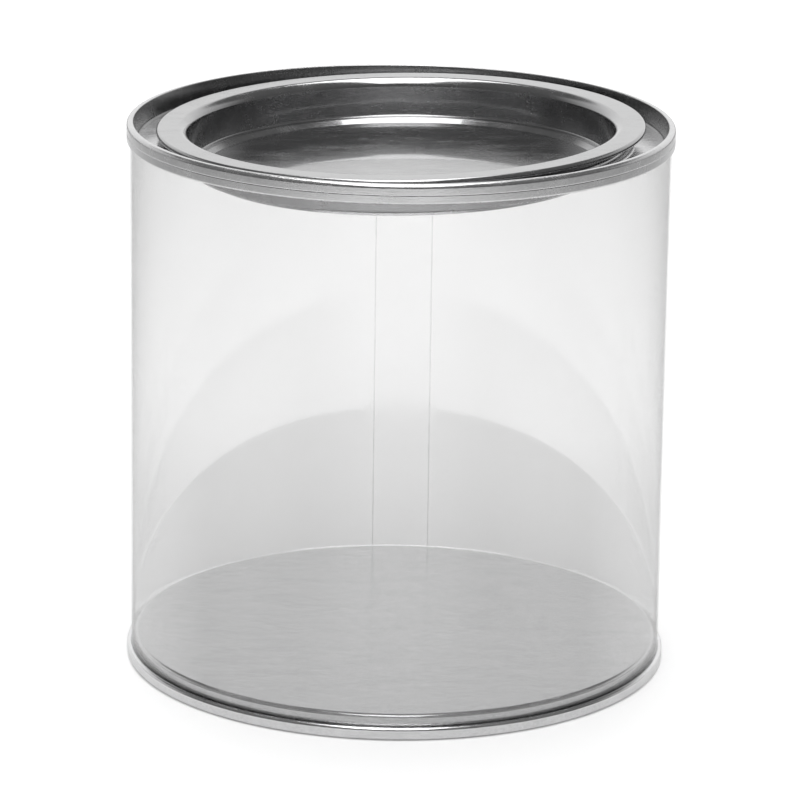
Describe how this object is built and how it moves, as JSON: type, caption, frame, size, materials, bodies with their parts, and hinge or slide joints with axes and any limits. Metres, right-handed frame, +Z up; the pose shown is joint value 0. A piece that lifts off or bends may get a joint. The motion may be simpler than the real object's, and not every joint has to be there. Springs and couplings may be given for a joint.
{
  "type": "clear-walled tin with plug lid",
  "caption": "Round see-through tin: a lapped clear sheet wall seamed to a tinplate base and neck ring, closed by a press-in tinplate plug lid that lifts off.",
  "frame": {"origin": "centre of the ring on which the base seam stands, on the tin's axis", "axes": "+Z up along the tin's axis to the lid, +Y to the back, where the clear wall's lap is, +X to the side on which the lid stands proud"},
  "size_m": [0.108, 0.108, 0.1097],
  "materials": {
    "clear_sheet": "clear glossy sheet",
    "tinplate_base": "bright rolled tinplate, satin grain",
    "tinplate_ring": "bright rolled tinplate, satin grain",
    "tinplate_lid": "bright rolled tinplate, satin grain"
  },
  "bodies": {
    "can": {"clear_wall": "clear_sheet", "base_end": "tinplate_base", "neck_ring": "tinplate_ring"},
    "lid": {"plug_lid": "tinplate_lid"}
  },
  "joints": [
    {"name": "lid_lift", "type": "slide", "parent": "can", "child": "lid", "axis": [0, 0, 1], "range_m": [0, 0.05]}
  ]
}
